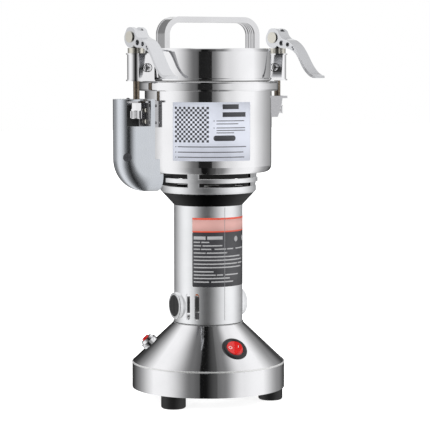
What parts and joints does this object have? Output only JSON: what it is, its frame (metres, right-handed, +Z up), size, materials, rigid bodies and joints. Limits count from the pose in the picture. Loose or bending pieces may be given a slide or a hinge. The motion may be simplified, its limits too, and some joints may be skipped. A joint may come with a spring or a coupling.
{
  "type": "electric grain mill",
  "caption": "Upright electric grain mill: conical steel base, motor tube, vented neck, grinding bowl and a lid held by cam-lever clamps, with rocker switch, reset button and lid interlock.",
  "frame": {"origin": "on the motor axis, at the ground that the three feet stand on", "axes": "+Z up along the motor axis, -Y to the front with the rocker switch, +X to the right seen from the front; the interlock box is on -X"},
  "size_m": [0.1875, 0.142, 0.3453],
  "materials": {
    "polished_steel": "mirror polished",
    "satin_steel": "satin",
    "threaded_steel": "threaded, dull zinc",
    "cast_chrome": "satin chrome on a die casting",
    "satin_aluminium": "satin",
    "black_rubber": "matte",
    "seal_rubber": "pale food-grade seal",
    "black_plastic": "fine grain",
    "red_plastic": "glossy",
    "core_steel": "laminated",
    "copper_wire": "enamelled copper",
    "carbon": "graphite",
    "painted_plate": "dark powder coat"
  },
  "bodies": {
    "stand": {"base_shell": "polished_steel", "base_plate": "painted_plate", "rubber_feet": "black_rubber", "foot_screws": "satin_steel", "cord_gland": "black_rubber", "rocker_bezel": "black_plastic", "reset_breaker": "black_plastic", "reset_nut": "cast_chrome", "motor_tube": "satin_aluminium", "brush_housings": "black_plastic", "brush_caps": "black_plastic", "carbon_brushes": "carbon", "brush_springs": "satin_steel", "bearing_bracket": "satin_aluminium", "shaft_bearings": "satin_steel", "stator_core": "core_steel", "field_coils": "copper_wire", "neck_housing": "satin_aluminium", "vent_neck": "satin_aluminium", "heat_spacer": "black_plastic", "bowl": "polished_steel", "bowl_screws": "satin_steel", "shaft_seal": "black_rubber", "collar_ring": "polished_steel", "left_fork": "satin_steel", "right_fork": "satin_steel", "interlock_cover": "satin_aluminium", "cover_screws": "satin_steel", "microswitch": "black_plastic"},
    "rotor": {"motor_shaft": "satin_steel", "rotor_core": "core_steel", "rotor_windings": "copper_wire", "commutator": "copper_wire", "cooling_fan": "black_plastic", "lower_cutter": "satin_steel", "cutter_spacer": "satin_steel", "upper_cutter": "satin_steel", "cutter_nut": "satin_steel"},
    "lid": {"lid_shell": "polished_steel", "lid_seal": "seal_rubber", "lid_handle": "satin_aluminium", "handle_screws": "satin_steel", "lid_saddles": "polished_steel", "lid_ears": "polished_steel", "ear_plates": "polished_steel", "ear_screws": "satin_steel"},
    "swivel_left": {"washers_left": "satin_steel"},
    "swivel_right": {"washers_right": "satin_steel"},
    "rod_left": {"clamp_rod_left": "threaded_steel", "barrel_nut_left": "satin_steel", "cam_pin_left": "satin_steel"},
    "rod_right": {"clamp_rod_right": "threaded_steel", "barrel_nut_right": "satin_steel", "cam_pin_right": "satin_steel"},
    "lever_left": {"cam_lever_left": "cast_chrome"},
    "lever_right": {"cam_lever_right": "cast_chrome"},
    "rocker": {"rocker": "red_plastic"},
    "reset_button": {"reset_button": "red_plastic"},
    "plunger": {"switch_plunger": "red_plastic"}
  },
  "joints": [
    {"name": "motor_spin", "type": "hinge", "parent": "stand", "child": "rotor", "pos_m": [0, 0, 0.2], "axis": [0, 0, 1], "continuous": true},
    {"name": "lid_turn", "type": "hinge", "parent": "stand", "child": "lid", "pos_m": [0, 0, 0.289], "axis": [0, 0, 1], "range_deg": [0, 25]},
    {"name": "swivel_left_turn", "type": "hinge", "parent": "lid", "child": "swivel_left", "pos_m": [-0.071, 0, 0.315], "axis": [0, 0, 1], "range_deg": [-200, 5]},
    {"name": "swivel_right_turn", "type": "hinge", "parent": "lid", "child": "swivel_right", "pos_m": [0.071, 0, 0.315], "axis": [0, 0, 1], "range_deg": [-35, 170]},
    {"name": "rod_left_slide", "type": "slide", "parent": "swivel_left", "child": "rod_left", "axis": [0, 0, 1], "range_m": [-0.002, 0]},
    {"name": "rod_right_slide", "type": "slide", "parent": "swivel_right", "child": "rod_right", "axis": [0, 0, 1], "range_m": [-0.002, 0]},
    {"name": "lever_left_swing", "type": "hinge", "parent": "rod_left", "child": "lever_left", "pos_m": [-0.071, 0, 0.32715], "axis": [-0.9724, -0.2334, 0], "range_deg": [0, 120]},
    {"name": "lever_right_swing", "type": "hinge", "parent": "rod_right", "child": "lever_right", "pos_m": [0.071, 0, 0.32715], "axis": [-0.9298, -0.3681, 0], "range_deg": [0, 120]},
    {"name": "plunger_slide", "type": "slide", "parent": "stand", "child": "plunger", "axis": [0, -1, 0], "range_m": [0, 0.0021]},
    {"name": "rocker_tilt", "type": "hinge", "parent": "stand", "child": "rocker", "pos_m": [0, -0.04997, 0.05103], "axis": [0.342, 0.681, 0.6475], "range_deg": [0, 24]},
    {"name": "reset_push", "type": "slide", "parent": "stand", "child": "reset_button", "axis": [0.6389, -0.2581, -0.7247], "range_m": [-0.0012, 0.0012], "stiffness_N_per_m": 400}
  ],
  "couplings": [
    {"joint": "lever_left_swing", "follows": "rod_left_slide", "rad_per_m": -1047.2},
    {"joint": "lever_right_swing", "follows": "rod_right_slide", "rad_per_m": -1047.2},
    {"joint": "plunger_slide", "follows": "lid_turn", "m_per_rad": 0.00458}
  ]
}
